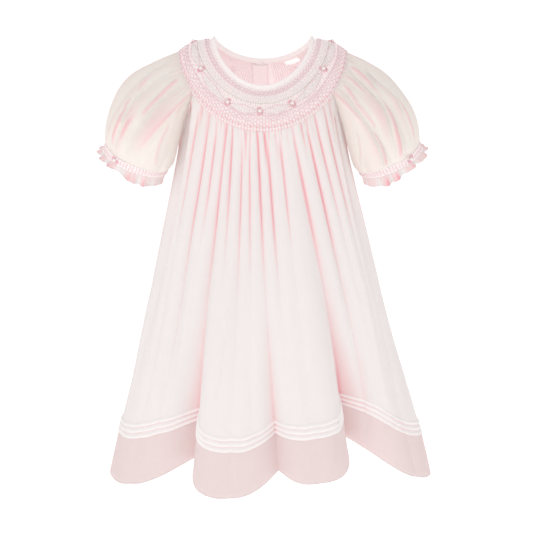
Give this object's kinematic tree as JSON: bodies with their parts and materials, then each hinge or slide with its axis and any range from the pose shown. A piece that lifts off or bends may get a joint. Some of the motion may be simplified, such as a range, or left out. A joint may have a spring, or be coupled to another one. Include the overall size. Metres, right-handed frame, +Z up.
{
  "type": "smocked dress",
  "caption": "Child's bishop dress in worn form, with a smocked round yoke, short puffed sleeves with frills, a gathered skirt with pintucks above the hem, and a buttoned back.",
  "frame": {"origin": "middle of the neck opening at the height of the shoulders, where the wearer carries the dress", "axes": "+Z up along the dress, +X to the wearer's left, the front faces -Y"},
  "size_m": [0.3508, 0.2217, 0.4712],
  "materials": {
    "batiste": "fine plain-woven cotton, pale pink, soft sheen",
    "smocking": "the same cotton in small stitched pleats, with pale pink and cream floss",
    "binding": "bias-cut cotton band",
    "button": "pale pearly plastic",
    "label": "plain white satin ribbon"
  },
  "bodies": {
    "root": {"front_panel": "batiste", "back_left_panel": "batiste", "back_right_panel": "batiste", "sleeve_left": "batiste", "sleeve_right": "batiste", "ruffle_left": "batiste", "ruffle_right": "batiste", "placket": "batiste", "placket_underlap": "batiste", "smocked_yoke": "smocking", "cuff_left": "smocking", "cuff_right": "smocking", "neck_binding": "binding", "button_1": "button", "button_2": "button", "button_3": "button", "neck_label": "label"}
  },
  "joints": []
}
